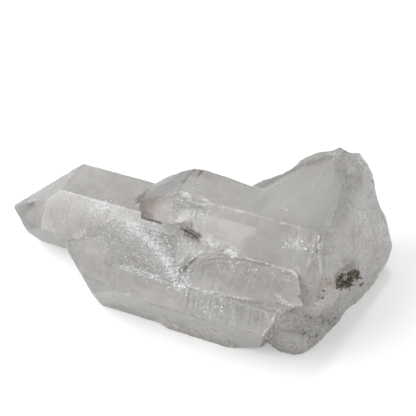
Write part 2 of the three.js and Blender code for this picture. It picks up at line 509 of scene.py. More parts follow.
# %% Where the breaks and grooves are
# pixels of the photo, width in mm, strength and grain in mm
LUMPY = [
    ([(174, 197), (198, 190), (204, 196)], 2.8, 0.2, 1.2),
    ([(174, 208), (190, 212), (206, 216)], 3.0, 0.15, 1.2),
    ([(208, 240), (236, 252)], 1.8, 0.7, 1.5),
    ([(274, 315), (300, 328), (318, 322), (334, 318)], 5.5, 1.0, 2.5),
    ([(290, 340), (315, 343)], 3.0, 1.0, 2.0),
    ([(322, 258), (340, 262)], 2.8, 0.5, 1.5),
    ([(322, 280), (334, 284)], 2.4, 0.7, 1.5),
    ([(362, 162), (373, 181)], 2.2, 0.7, 1.5),
]
FEATHERED = [([(182, 238), (196, 250)], 5.0, 1.0, 3.0)]
GROOVES = [
    ([(181, 281), (182, 268), (190, 259), (199, 254)], 0.8, 0.8, 3.0),
    ([(202, 263), (209, 258), (220, 257)], 0.6, 0.6, 2.0),
    ([(205, 268), (215, 262), (228, 262)], 0.6, 0.5, 2.0),
    ([(222, 256), (245, 258), (270, 265), (292, 274), (303, 283)], 0.8, 0.6, 3.0),
    ([(303, 284), (305, 292), (302, 300)], 0.7, 0.7, 2.0),
    ([(327, 229), (321, 244), (313, 257)], 0.7, 0.7, 3.0),
    ([(86, 275), (104, 283), (128, 293)], 0.6, 0.5, 2.0),
    ([(150, 304), (180, 312), (215, 323)], 0.6, 0.4, 2.0),
]
print(len(LUMPY), "crushed places,", len(FEATHERED), "fan of ridges,", len(GROOVES), "grooves")

# %% [markdown]
# ### Worn and rounded edges
# Every outward edge has small chips, with longer bruises here and there. Three edges of the
# base are rounded much further, and a depth that grows towards the edge does that. It
# touches both faces at the radius, so no new edge shows.

# %% Wear along the edges
CHIP_DEPTH, CHIP_REACH = 0.1, 0.8
RIM_DEPTH, RIM_REACH = 0.05, 0.35
# pixels of the photo, radius in mm, and the bend of the edge in radians
ROUNDED = [
    ([(351, 172), (340, 198), (324, 233), (322, 250)], 7.0, 1.05),
    ([(352, 236), (326, 234)], 4.0, 0.3),
    ([(264, 336), (282, 312)], 1.5, 0.5),
]


def worn(places, distance):
    """Small chips along the edges, and a narrow worn rim."""
    chips = eased(0.15 + 1.3 * hills(places, 1.3, 9)) * eased(1 - distance / CHIP_REACH)
    return CHIP_DEPTH * chips + RIM_DEPTH * eased(1 - distance / RIM_REACH)


def rounded_off(places):
    """How deep a rounding goes. It touches both faces at its radius from the edge."""
    whole = np.zeros(len(places))
    for pixels, radius, bend in ROUNDED:
        left = np.clip(1 - along(places, [on_crystal(u, v) for u, v in pixels]) / radius, 0, 1)
        whole = np.maximum(whole, bend * radius / 4 * left * left)
    return whole


print("on an edge the wear is", worn(on_spot, np.zeros(1)).round(2), "mm")

# %% [markdown]
# ### All of the relief
# Each kind of relief is kept to its own faces. The faces that the photo doesn't show are a
# little more uneven, because nothing is known of them and a flat wall would look cast.

# %% Add up the relief
FULL_DEPTH_FROM = 0.9
GROOVE_DEPTH = 0.45


def face_relief(places, ways):
    """The relief between the edges."""
    kept = grown(ways)
    walls = long_faces(ways)
    top = front_top(places, ways)
    lines = walls * (1 - top) * (0.02 + growth_lines(places))
    waves = kept * (1 - walls) * 0.02 * hills(places, 3, 11)
    breaks = (1 - kept) * (0.1 + broken_open(places))
    return lines + waves + breaks + top * etched(places)


def unseen_relief(places, ways):
    """More waves on the faces that the photo doesn't show."""
    hollows = 0.35 + 0.35 * hills(places, 7, 22) + 0.1 * np.abs(hills(places, 2, 23))
    waves = 0.1 + 0.1 * hills(places, 2.6, 20)
    return turned_away(ways) * (waves + (1 - grown(ways)) * hollows)


def relief(places, ways):
    """How deep each point goes in, in millimetres."""
    inland = eased(away_from(edge_tree, places) / FULL_DEPTH_FROM)
    lumps = painted(places, LUMPY, ragged=0.5) * crushed(places)
    fan = painted(places, FEATHERED, ragged=0.3) * (0.15 + feathered(places))
    between = face_relief(places, ways) + lumps + fan + unseen_relief(places, ways)
    rounding = rounded_off(places)
    wear = worn(places, away_from(outward_tree, places)) * (rounding < 0.01)
    grooves = GROOVE_DEPTH * painted(places, GROOVES, ragged=0.15)
    return np.maximum(inland * between + wear + grooves, 0) + rounding


print("at one spot:", relief(on_spot, face_ways(on_spot)).round(2), "mm deep")

# %% Push the points in
points = numbers(crystal.data, "co")
depth = relief(points, face_ways(points))
inwards = -numbers(crystal.data, "normal") * depth[:, None] * MM
crystal.data.vertices.foreach_set("co", np.clip(points + inwards, box_low, box_high).ravel())
crystal.data.update()
print("deepest", depth.max().round(2), "mm; mean", depth.mean().round(3), "mm")

# %% [markdown]
# ## Fewer triangles
# Flat faces don't need small triangles. The Decimate modifier merges them there and leaves
# them where the surface bends, which keeps the piece light.

# %% Thin out the mesh
MOST_TRIANGLES = 190_000
SHARP_FROM = math.radians(24)

triangles = 2 * len(crystal.data.polygons)
thinning = crystal.modifiers.new("thin", "DECIMATE")
thinning.ratio = min(1, MOST_TRIANGLES / triangles)
with_modifiers(crystal)
crystal.data.set_sharp_from_angle(angle=SHARP_FROM)
print("triangles:", triangles, "->", sum(len(p.vertices) - 2 for p in crystal.data.polygons))

# %% [markdown]
# ## Marks on the surface
# Marks of white bruises, dark cracks and stains, faint iron stain and pale places are laid on, with
# painted shade, painted glints and painted highlights, each where it is. An image texture would fit
# one view only. Here the marks become values on the points of the mesh, which the material reads.
# Every mark has its pixels, its width in mm, its strength and its grain in mm.

# %% White frost where the quartz is bruised, and painted highlights along some edges
FROST_AND_HIGHLIGHTS = [
    ([(150, 230), (170, 238)], 3.6, 0.5, 1.5),
    ([(88, 208), (107, 206)], 3.0, 0.75, 1.0),
    ([(180, 240), (192, 254)], 3.2, 0.6, 0.8),
    ([(44, 226), (52, 228)], 1.4, 0.6, 0.8),
    ([(125, 222), (155, 245), (170, 262), (183, 288)], 2.2, 0.9, 1.2),
    ([(122, 266), (150, 275), (158, 279)], 0.9, 0.8, 0.8),
    ([(174, 205), (186, 192), (200, 186)], 2.8, 0.45, 0.7),
    ([(176, 208), (190, 212), (205, 216)], 2.8, 0.4, 0.7),
    ([(204, 238), (214, 243)], 1.9, 0.6, 0.8),
    ([(231, 251), (234, 254)], 1.1, 1.0, 0.5),
    ([(221, 257)], 0.9, 0.8, 0.5),
    ([(285, 242), (315, 246)], 2.2, 0.35, 0.9),
    ([(329, 230), (340, 230)], 0.7, 0.5, 0.6),
    ([(338, 152), (333, 165), (338, 185)], 1.2, 0.35, 1.0),
    ([(362, 162), (372, 180)], 2.2, 0.5, 1.0),
    ([(239, 285)], 0.8, 0.7, 0.5),
    ([(216, 266)], 0.7, 0.8, 0.5),
    ([(266, 267)], 0.8, 0.7, 0.5),
    ([(188, 287), (212, 292), (240, 298), (262, 302), (300, 307)], 0.6, 0.6, 1.6),
    ([(280, 310), (263, 336)], 0.7, 0.6, 1.2),
    ([(195, 295), (205, 297)], 1.6, 0.6, 0.8),
    ([(212, 300), (225, 318)], 2.6, 0.35, 0.8),
    ([(278, 207), (287, 209)], 0.6, 0.9, 0.6),
    ([(222, 180), (262, 193)], 0.5, 0.5, 1.5),
    ([(322, 270), (338, 271), (350, 264), (362, 272)], 0.6, 0.6, 1.0),
    ([(305, 335), (315, 345)], 0.8, 0.6, 0.8),
]
print(len(FROST_AND_HIGHLIGHTS), "frosty marks")

# %% Dark stains, and painted shade in cracks and along edges
DARK_STAINS_AND_SHADE = [
    ([(27, 207), (34, 203)], 1.3, 0.9, 0.9),
    ([(68, 241), (70, 254)], 1.2, 0.45, 1.5),
    ([(142, 216), (150, 219), (160, 222)], 0.45, 1.0, 1.2),
    ([(160, 222), (172, 225)], 0.3, 0.6, 1.2),
    ([(182, 229), (190, 233), (198, 238)], 1.4, 1.0, 1.2),
    ([(186, 229), (192, 231), (200, 236)], 0.8, 0.85, 0.8),
    ([(184, 233), (190, 236), (197, 240)], 0.8, 0.85, 0.8),
    ([(175, 224), (188, 226)], 0.8, 0.7, 0.8),
    ([(181, 280), (182, 268), (190, 260), (198, 256)], 0.45, 0.3, 2.0),
    ([(195, 171), (202, 171)], 0.3, 0.9, 1.0),
    ([(104, 260), (112, 261)], 1.6, 0.4, 1.2),
    ([(112, 305), (132, 311), (155, 318)], 0.9, 0.75, 2.0),
    ([(342, 281), (353, 278)], 2.4, 0.4, 0.8),
    ([(323, 298)], 0.5, 1.0, 0.3),
    ([(324, 291)], 0.4, 0.9, 0.3),
    ([(299, 296)], 0.5, 0.6, 0.4),
]
# stains are broken up into many small specks
STAINED = [
    ([(291, 312), (308, 318)], 2.6, 0.8, 0.5),
    ([(322, 320), (336, 322)], 2.6, 0.75, 0.5),
    ([(300, 330), (318, 338)], 2.4, 0.8, 0.5),
    ([(176, 223), (188, 226)], 1.6, 0.7, 0.6),
]
print(len(DARK_STAINS_AND_SHADE), "dark marks,", len(STAINED), "stains")

# %% Warm glints: painted glints of inner cracks, with faint iron stain
WARM = [
    ([(142, 205), (165, 209)], 3.5, 0.4, 4.0),
    ([(69, 176), (72, 174)], 0.9, 0.8, 0.7),
    ([(62, 231), (74, 238)], 0.5, 0.9, 0.8),
    ([(77, 257), (90, 260), (103, 265)], 0.7, 1.0, 0.6),
    ([(316, 208), (326, 202)], 0.8, 0.6, 0.7),
    ([(308, 168), (320, 163)], 1.2, 0.5, 0.8),
    ([(213, 207), (218, 208)], 0.8, 0.8, 0.7),
    ([(280, 208), (288, 210)], 0.8, 0.6, 0.7),
    ([(350, 235), (375, 245)], 4.5, 0.45, 3.0),
    ([(272, 228), (294, 232)], 2.0, 0.45, 1.5),
    ([(160, 323), (212, 337)], 1.2, 0.4, 2.0),
    ([(195, 172), (210, 178)], 2.4, 0.5, 1.5),
    ([(322, 284), (335, 285)], 1.4, 0.9, 0.7),
    ([(225, 270), (232, 273)], 2.0, 0.4, 1.5),
    ([(276, 330), (268, 338)], 1.6, 0.4, 1.5),
]
print(len(WARM), "warm marks")

# %% Pale places and painted shade
PALE = [
    ([(160, 322), (200, 332), (240, 340)], 3.0, 0.8, 3.0),
    ([(338, 156), (335, 170), (341, 200), (331, 226)], 3.5, 0.6, 3.0),
    ([(355, 190), (366, 232), (368, 250)], 9.0, 0.95, 5.0),
    ([(245, 212), (270, 214), (300, 205)], 8.0, 0.5, 5.0),
    ([(178, 236), (194, 252)], 4.0, 0.3, 2.0),
    ([(122, 224), (150, 240), (170, 268)], 6.5, 0.9, 3.0),
    ([(285, 190), (325, 180), (318, 215), (290, 205)], 10.0, 1.0, 6.0),
    ([(215, 215), (250, 240), (290, 252)], 4.5, 0.4, 4.0),
    ([(152, 232), (170, 250)], 4.5, 1.0, 3.0),
    ([(185, 290), (225, 320), (262, 330)], 3.0, 0.3, 4.0),
    ([(288, 340), (310, 347)], 2.6, 0.8, 2.0),
    ([(300, 301), (330, 305)], 3.0, 0.7, 2.0),
]
# painted shade: darker places, such as faces seen edge-on and the lower edge
PAINTED_SHADE = [
    ([(58, 212), (90, 226)], 8.0, 0.5, 4.0),
    ([(200, 300), (255, 322)], 4.5, 0.45, 3.0),
    ([(180, 200), (196, 208)], 4.5, 0.55, 2.0),
    ([(178, 212), (183, 212)], 2.0, 0.6, 2.0),
    ([(92, 178), (140, 186)], 2.5, 0.35, 4.0),
    ([(196, 268), (238, 274), (284, 288)], 4.6, 0.55, 3.0),
    ([(196, 263), (215, 258), (240, 259), (270, 265), (292, 274)], 1.2, 0.55, 2.0),
    ([(183, 280), (184, 268), (194, 259)], 1.2, 0.9, 2.0),
    ([(262, 186), (300, 166), (330, 157)], 2.6, 0.65, 3.0),
    ([(344, 160), (352, 200)], 3.0, 0.4, 3.0),
    ([(104, 304), (152, 319)], 1.2, 0.9, 1.5),
    ([(75, 252), (110, 285)], 4.0, 0.4, 3.0),
    ([(266, 325), (280, 318)], 3.0, 0.3, 2.0),
    ([(345, 262), (353, 268)], 3.0, 0.7, 1.0),
]
# painted shade for the end faces, which are seen at a low angle, so their marks are wide and stay on
# those faces
PAINTED_SHADE_ENDS = [
    ([(30, 200), (52, 188), (72, 174)], 16, 0.78, 8.0),
    ([(22, 213), (38, 222), (44, 232)], 9, 0.75, 5.0),
    ([(150, 195), (168, 186), (198, 172)], 14, 0.95, 8.0),
]
print(len(PALE), "pale marks,", len(PAINTED_SHADE) + len(PAINTED_SHADE_ENDS), "smoky ones")

# %% Etched places
ETCHED = [
    ([(58, 203), (84, 214), (122, 214)], 6.5, 0.6, 2.0),
    ([(60, 228), (95, 232)], 3.0, 0.6, 2.0),
    ([(74, 250), (110, 262)], 4.0, 0.35, 2.0),
    ([(154, 235), (172, 254)], 3.4, 0.9, 1.5),
    ([(176, 200), (200, 212), (225, 208)], 4.5, 0.6, 1.5),
    ([(183, 240), (195, 250)], 3.5, 0.6, 1.5),
    ([(205, 242), (236, 252)], 2.5, 0.6, 1.5),
    ([(192, 262), (240, 270), (292, 285)], 3.4, 0.55, 1.5),
    ([(185, 296), (230, 308), (268, 322)], 4.0, 0.5, 2.0),
    ([(285, 244), (316, 248)], 2.5, 0.45, 1.0),
    ([(318, 258), (340, 262)], 3.2, 0.6, 1.2),
    ([(280, 318), (320, 330), (336, 318)], 6.5, 0.7, 1.8),
    ([(300, 290), (330, 296)], 4.0, 0.4, 1.8),
]
print(len(ETCHED), "etched marks, besides the top of the front point")

# %% [markdown]
# ### From marks to values
# Some values come from the shape as well: bruises, which are also painted highlights, follow the
# outward edges, the top of the front point is etched all over, and end faces and undersides get
# painted shade, because much of the crystal is seen through them.

# %% Values from the shape
BRUISE_AND_HIGHLIGHT_REACH = 0.55
# shares of painted shade on the end faces and on the undersides
END_SHADE = 0.6
UNDERSIDE_SHADE = 0.6
SHOWS_FROM = 0.3

places = numbers(crystal.data, "co")
ways = face_ways(places)
sharp_edge = rounded_off(places) < 0.01
along_edges = eased(1 - away_from(outward_tree, places) / BRUISE_AND_HIGHLIGHT_REACH)
# white bruises along the outward edges, which also serve as painted edge highlights
bruise_and_highlight = along_edges * eased(0.4 + 1.2 * hills(places, 1.6, 13)) * sharp_edge
etched_top = front_top(places, ways)
is_end = grown(ways) * (ways[:, 0] < -0.3)
# painted shade: end faces and faces that look down are darkened
end_shade = is_end * np.maximum(END_SHADE, painted(places, PAINTED_SHADE_ENDS, ragged=0.15))
underside_shade = UNDERSIDE_SHADE * eased(-2 * ways[:, 2])
print("bruised:", round(100 * float((bruise_and_highlight > SHOWS_FROM).mean()), 1), "% of the points")

# %% Write the values to the mesh
def keep_on_mesh(mesh, name, values):
    """Keeps one value for each point of the mesh, under a name."""
    made = mesh.attributes.new(name, "FLOAT", "POINT")
    made.data.foreach_set("value", values.astype(np.float32))
    print(name, "covers", round(100 * float((values > SHOWS_FROM).mean()), 1), "% of the points")


frost_marks = painted(places, FROST_AND_HIGHLIGHTS, ragged=0.7)
stains_and_shade_marks = painted(places, DARK_STAINS_AND_SHADE, ragged=0.45)
etch_on_top = etched_top * (0.75 + 0.25 * hills(places, 3, 21))
smoky_marks = painted(places, PAINTED_SHADE, ragged=0.25)
# white frost and bruises, with painted highlights along edges
keep_on_mesh(crystal.data, "frost", np.maximum(frost_marks, 0.55 * bruise_and_highlight))
# dark stains and dirt, and painted shade in cracks, on edge-on faces and along the lower edge
keep_on_mesh(crystal.data, "dark", np.maximum(stains_and_shade_marks, painted(places, STAINED, ragged=1.0)))
# painted warm glints, with faint iron stain
keep_on_mesh(crystal.data, "warm", painted(places, WARM, ragged=0.6))
keep_on_mesh(crystal.data, "etch", np.maximum(etch_on_top, painted(places, ETCHED, ragged=0.5)))
keep_on_mesh(crystal.data, "broken", 1 - grown(ways))
keep_on_mesh(crystal.data, "hidden", turned_away(ways))
keep_on_mesh(crystal.data, "pale", painted(places, PALE, ragged=0.2))
keep_on_mesh(crystal.data, "ridged", long_faces(ways) * (1 - etched_top))
# painted shade on end faces, undersides and the marked places
keep_on_mesh(crystal.data, "smoky", np.max([end_shade, underside_shade, smoky_marks], axis=0))

# %% [markdown]
# ## The quartz
# Clear quartz bends light by 1.544. This specimen is full of tiny veils, so light is also
# scattered: the material is part glass and part pale grey, with a slight roughness. It could
# be clicked together in the shader editor. A few helpers do the same in short lines of code
# that say which mask goes where.

# %% Shader helpers
class Nodes:
    """Adds nodes to a tree and links them, one short call each."""

    def __init__(self, tree):
        self.tree = tree
        self.column = 0

    def add(self, kind, **settings):
        node = self.tree.nodes.new(kind)
        self.column += 1
        node.location = (180 * self.column, -60 * (self.column % 5))
        for name, value in settings.items():
            setattr(node, name, value)
        return node

    def put(self, value, socket):
        """Links a socket to the value's socket, or sets it to a plain value."""
        if isinstance(value, bpy.types.NodeSocket):
            self.tree.links.new(value, socket)
        else:
            socket.default_value = value

    def maths(self, how, a, b):
        """A Math node whose result stays between 0 and 1."""
        node = self.add("ShaderNodeMath", operation=how, use_clamp=True)
        self.put(a, node.inputs[0])
        self.put(b, node.inputs[1])
        return node.outputs[0]

    def times(self, a, b):
        return self.maths("MULTIPLY", a, b)

    def plus(self, a, b):
        return self.maths("ADD", a, b)

    def larger(self, a, b):
        return self.maths("MAXIMUM", a, b)

    def mixed(self, share, a, b):
        """Colour a where share is 0, and b where it is 1."""
        node = self.add("ShaderNodeMix", data_type="RGBA")
        self.put(share, node.inputs["Factor"])
        self.put(a, node.inputs["A"])
        self.put(b, node.inputs["B"])
        return node.outputs["Result"]

    def kept(self, name):
        """A value that is kept on the mesh."""
        return self.add("ShaderNodeAttribute", attribute_name=name).outputs["Fac"]

    def noise(self, where, scale, **settings):
        """A Noise node at these coordinates."""
        node = self.add("ShaderNodeTexNoise", noise_dimensions="3D")
        self.put(where, node.inputs["Vector"])
        self.put(scale, node.inputs["Scale"])
        for name, value in settings.items():
            node.inputs[name].default_value = value
        return node.outputs["Fac"]

    def stretched(self, scale):
        """The coordinates of the piece, drawn out where the scale is below 1."""
        node = self.add("ShaderNodeMapping")
        node.inputs["Scale"].default_value = scale
        self.put(self.add("ShaderNodeTexCoord").outputs["Object"], node.inputs["Vector"])
        return node.outputs["Vector"]


print("helpers:", [name for name in vars(Nodes) if not name.startswith("_")])

# %% Node groups with named sockets
FLOAT = "NodeSocketFloat"


def group(name, inputs, outputs):
    """A new node group of numbers in and out, its nodes, and its two ends."""
    tree = bpy.data.node_groups.new(name, "ShaderNodeTree")
    for socket, value in inputs.items():
        tree.interface.new_socket(socket, in_out="INPUT", socket_type=FLOAT).default_value = value
    for socket in outputs:
        tree.interface.new_socket(socket, in_out="OUTPUT", socket_type=FLOAT)
    nodes = Nodes(tree)
    return nodes, nodes.add("NodeGroupInput"), nodes.add("NodeGroupOutput")


def placed_group(nodes, tree, **values):
    """A node that stands for a whole group, with its own values."""
    node = nodes.add("ShaderNodeGroup", node_tree=tree)
    for name, value in values.items():
        nodes.put(value, node.inputs[name])
    return node


print("node groups so far:", len(bpy.data.node_groups))

# %% [markdown]
# ### Grain
# Both the quartz and the dirt need fine irregular grain. One node group makes it: a mask
# of bright grains, and a height for the bump. Its size is given in grains per metre.

# %% Build the grain group
# how steeply the mask rises at the edge of a grain
GRAIN_EDGE = 6.0

grain, given, made = group("Fine grain", {"Scale": 2000.0, "Cover": 0.5}, ["Grains", "Height"])
where = grain.add("ShaderNodeTexCoord").outputs["Object"]
specks = grain.noise(where, given.outputs["Scale"], Detail=3, Roughness=0.7)
uncovered = grain.maths("SUBTRACT", 1.0, given.outputs["Cover"])
above = grain.maths("SUBTRACT", specks, uncovered)
grain.put(grain.times(above, GRAIN_EDGE), made.inputs["Grains"])
grain.put(specks, made.inputs["Height"])
print("grain group:", len(grain.tree.nodes), "nodes")

# %% [markdown]
# ### Growth lines
# Quartz grows in thin steps, which leave fine lines straight across the long faces. The
# mesh carries the wide ones. The finest are noise drawn out across the crystals, whose long
# axis is X here.

# %% Build the growth-line group
lines, given, made = group("Growth lines", {"Scale": 1400.0}, ["Height"])
steps = lines.noise(lines.stretched(ACROSS), given.outputs["Scale"], Detail=4, Roughness=0.65)
lines.put(steps, made.inputs["Height"])
print("growth lines:", len(lines.tree.nodes), "nodes")

# %% [markdown]
# ### Veils
# Cloudy quartz is full of healed cracks, which show as thin pale wisps. Their mask is noise
# folded about its middle value: where the noise passes the middle there is a thin line. The
# wisps are drawn out a little along the crystals.

# %% Build the veil group
ALONG = (0.45, 1, 1)

wisps, given, made = group("Veils", {"Scale": 200.0, "Width": 6.0}, ["Wisps"])
cloudy = wisps.noise(wisps.stretched(ALONG), given.outputs["Scale"], Detail=5, Distortion=0.6)
above = wisps.maths("SUBTRACT", cloudy, 0.5)
below = wisps.maths("SUBTRACT", 0.5, cloudy)
thin_lines = wisps.times(wisps.larger(above, below), given.outputs["Width"])
wisps.put(wisps.maths("SUBTRACT", 1.0, thin_lines), made.inputs["Wisps"])
print("veils:", len(wisps.tree.nodes), "nodes")

# %% [markdown]
# ### The colour of the quartz
# The colour is built up as the eye meets it. Grey body and pale cloud come first, then thin veils,
# painted shade and painted warm glints with faint iron stain, and last what lies on the surface:
# white frost with painted sparkle and highlights, and dark stains with painted shade. Each layer is
# mixed over the others by its own mask.

# %% Start the material and its masks
def plain_material(name):
    """A material with one Principled shader, and its nodes."""
    material = bpy.data.materials.new(name)
    material.use_nodes = True
    material.node_tree.nodes.clear()
    nodes = Nodes(material.node_tree)
    shader = nodes.add("ShaderNodeBsdfPrincipled")
    output = nodes.add("ShaderNodeOutputMaterial")
    nodes.put(shader.outputs["BSDF"], output.inputs["Surface"])
    return material, nodes, shader


quartz, nodes, shader = plain_material("cloudy_quartz")
etch, broken = nodes.kept("etch"), nodes.kept("broken")
clouds = placed_group(nodes, grain.tree, Scale=260.0, Cover=0.55)
mottle = placed_group(nodes, grain.tree, Scale=900.0, Cover=0.5)
sparkle = placed_group(nodes, grain.tree, Scale=1700.0, Cover=0.44)
veils = placed_group(nodes, wisps.tree, Scale=170.0, Width=14.0)
# painted sparkle: white grains on etched faces stand in for flashing facets
painted_sparkle = nodes.times(sparkle.outputs["Grains"], nodes.plus(nodes.times(etch, 0.9), 0.06))
# white frost, with painted highlights along edges
frost_and_highlit = nodes.times(nodes.kept("frost"), nodes.plus(mottle.outputs["Grains"], 0.4))
white = nodes.larger(painted_sparkle, frost_and_highlit)
print("masks:", len(quartz.node_tree.nodes), "nodes")

# %% Mix the colours
BODY = (0.62, 0.6, 0.572, 1)
VEIL = (0.88, 0.87, 0.85, 1)
# the tint of the painted shade
SHADE_TINT = (0.05, 0.043, 0.042, 1)
# painted warm glints, with faint iron stain
WARM_GLINT_AND_STAIN = (0.72, 0.5, 0.4, 1)
WHITE = (0.93, 0.95, 0.99, 1)
# dark stains, and painted shade in cracks, on edge-on faces and along the lower edge
STAIN_AND_SHADE = (0.05, 0.043, 0.033, 1)

cloud = nodes.times(nodes.plus(clouds.outputs["Grains"], mottle.outputs["Height"]), 0.32)
smoky = nodes.kept("smoky")
layers = [
    (nodes.larger(cloud, nodes.times(nodes.kept("pale"), 0.9)), VEIL),
    (nodes.times(veils.outputs["Wisps"], 0.35), VEIL),
    # painted shade, strongest where marked
    (nodes.times(nodes.times(smoky, smoky), 0.95), SHADE_TINT),
    (nodes.times(nodes.kept("warm"), 0.85), WARM_GLINT_AND_STAIN),
    # white frost, with painted sparkle and painted highlights
    (white, WHITE),
    (nodes.kept("dark"), STAIN_AND_SHADE),
]
colour = BODY
for share, tint in layers:
    colour = nodes.mixed(share, colour, tint)
nodes.put(colour, shader.inputs["Base Color"])
print("the body and", len(layers), "layers of colour")

# %% [markdown]
# ### Gloss and grain of the quartz
# Growth faces are glossy, breaks and frosted places less so. The bump adds what is finer
# than the mesh: sparkling grain where the face is etched, and the finest growth lines on
# the long faces.

# %% Set roughness and bump
ROUGHNESS = 0.1
BUMP_DEPTH = 0.25

uneven = nodes.plus(nodes.times(clouds.outputs["Grains"], 0.16), nodes.times(broken, 0.08))
frosted = nodes.plus(nodes.times(white, 0.25), nodes.times(nodes.kept("hidden"), 0.1))
rough = nodes.plus(nodes.plus(uneven, frosted), ROUGHNESS)
nodes.put(rough, shader.inputs["Roughness"])

grainy = nodes.plus(nodes.times(nodes.larger(etch, nodes.times(broken, 0.05)), 0.9), 0.06)
fine_lines = placed_group(nodes, lines.tree, Scale=1400.0).outputs["Height"]
heights = nodes.plus(
    nodes.times(sparkle.outputs["Height"], grainy),
    nodes.times(fine_lines, nodes.times(nodes.kept("ridged"), 0.35)),
)
bump = nodes.add("ShaderNodeBump")
bump.inputs["Strength"].default_value = 0.6
bump.inputs["Distance"].default_value = BUMP_DEPTH * MM
nodes.put(heights, bump.inputs["Height"])
nodes.put(bump.outputs["Normal"], shader.inputs["Normal"])
print("bump of", BUMP_DEPTH, "mm at most")

# %% [markdown]
# ### The glass
# Two thirds of the light goes through, bent as in quartz, and a thin volume absorption tints
# thick places a little. The rest is scattered by the veils. A faint coat gives the wet gloss
# of a polished face over the cloudy body.

# %% Set the glass
QUARTZ_IOR = 1.544


def set_all(node, **settings):
    """Sets plain values on a node's sockets. Underscores in the names stand for spaces."""
    for name, value in settings.items():
        node.inputs[name.replace("_", " ")].default_value = value


set_all(shader, IOR=QUARTZ_IOR, Transmission_Weight=0.65, Coat_Weight=0.15, Coat_Roughness=0.06)
absorption = nodes.add("ShaderNodeVolumeAbsorption")
set_all(absorption, Color=(0.62, 0.6, 0.56, 1), Density=6)
output = quartz.node_tree.get_output_node("ALL")
nodes.put(absorption.outputs["Volume"], output.inputs["Volume"])
crystal.data.materials.clear()
crystal.data.materials.append(quartz)
print("quartz:", len(quartz.node_tree.nodes), "nodes")

# %% [markdown]
# ## Sparkle on the etched faces
# Etching leaves tiny crystal corners standing on a face, and each flashes white. They are
# far smaller than the triangles of the crystal, so they are a piece of their own: small
# double pyramids, partly sunk in the surface, and crowded where the photo sparkles.

# %% Where the photo sparkles
# pixels of a line, how far the crumbs stray from it in pixels, and how many there are
# the white of the crumbs is painted sparkle, and the thin rows along edges are painted highlights
SPARKLE = [
    ([(126, 223), (142, 232), (155, 245), (168, 262), (182, 287)], 3.8, 1500),
    ([(118, 226), (150, 250), (172, 272)], 11, 900),
    ([(95, 235), (120, 250), (112, 270)], 8, 90),
    ([(154, 233), (174, 256)], 4, 220),
    ([(180, 238), (194, 254)], 5, 120),
    ([(122, 266), (150, 275), (158, 279)], 1.5, 160),
    ([(90, 208), (112, 206)], 3.5, 200),
    ([(60, 206), (84, 226), (112, 222)], 9, 110),
    ([(55, 208), (80, 216), (105, 220)], 7, 80),
    ([(176, 200), (186, 192), (202, 187)], 3.5, 80),
    ([(176, 208), (190, 212), (205, 216)], 3.5, 70),
    ([(204, 239), (214, 243)], 2.5, 50),
    ([(230, 251), (235, 255)], 2, 110),
    ([(196, 297), (236, 314)], 6, 110),
    ([(200, 262), (270, 268), (290, 280)], 5, 70),
    ([(285, 243), (314, 247)], 3.5, 90),
    ([(320, 259), (340, 262)], 5, 60),
    ([(280, 315), (330, 320), (300, 340)], 8, 150),
    ([(278, 206), (287, 210)], 0.7, 30),
    ([(222, 179), (262, 193)], 0.5, 30),
    ([(73, 238), (87, 230)], 0.6, 25),
    ([(280, 311), (264, 335)], 0.8, 45),
    ([(188, 287), (240, 298), (300, 307)], 0.7, 60),
    ([(330, 230), (340, 230)], 0.5, 12),
]


def near_line(pixels, stray):
    """A random pixel near the line, and equally often near each millimetre of it."""
    runs = [np.subtract(b, a) for a, b in zip(pixels, pixels[1:])]
    lengths = [np.hypot(*run) for run in runs]
    which = chance.choice(len(runs), p=np.divide(lengths, sum(lengths)))
    return pixels[which] + chance.random() * runs[which] + chance.normal(0, stray, 2)


print("crumbs wanted:", sum(count for _, _, count in SPARKLE))

# %% The shape of a crumb
TIP = 0.7
CORNERS = np.array([(1, 0, 0), (0, 1, 0), (-1, 0, 0), (0, -1, 0), (0, 0, TIP), (0, 0, -TIP)])
SIDES = [(0, 1, 4), (1, 2, 4), (2, 3, 4), (3, 0, 4), (1, 0, 5), (2, 1, 5), (3, 2, 5), (0, 3, 5)]
# radius in mm of the smallest crumb, how much larger one can be, and how deep its middle
# lies under the surface, as a share of its radius
SMALLEST = 0.09
SIZE_RANGE = 0.26
SUNK = 0.3
# radians, a little over a full turn
MOST_TURN = 6.3


def random_turn(size):
    """A turn about a random axis, as a matrix with this many rows."""
    return Matrix.Rotation(MOST_TURN * chance.random(), size, Vector(chance.random(3) - 0.5))


print("a crumb has", len(SIDES), "sides")

# %% Make the sparkling crumbs
WIDE_STRAY = 6
THINLY_SPREAD = 0.7


def crumb_spots(surface):
    """Place, way out and scale of every crumb. Thinly spread ones are smaller."""
    for pixels, stray, count in SPARKLE:
        for _ in range(count):
            place, way, *_ = seen_through(surface, *near_line(pixels, stray))
            if place:
                yield place, way, THINLY_SPREAD if stray > WIDE_STRAY else 1.0


def crumbs(name, spots):
    """One mesh of double pyramids, each turned at random and kept inside the solid's box."""
    corners, faces = [], []
    for place, way, scale in spots:
        size = (SMALLEST + SIZE_RANGE * chance.random() ** 2) * scale
        turn = random_turn(3)
        shape = CORNERS * (0.6 + 0.8 * chance.random(3)) * size * MM
        crumb = shape @ np.array(turn).T + np.array(place - way * SUNK * size * MM)
        above = np.maximum(crumb.max(axis=0) - box_high, 0)
        below = np.minimum(crumb.min(axis=0) - box_low, 0)
        faces += [tuple(len(corners) + i for i in side) for side in SIDES]
        corners += (crumb - (above + below)).tolist()
    mesh = bpy.data.meshes.new(name)
    mesh.from_pydata(corners, [], faces)
    return mesh


spots = crumb_spots(tree_of(crystal.data))
sparkles = placed("etched_sparkle", crumbs("etched_sparkle", spots))
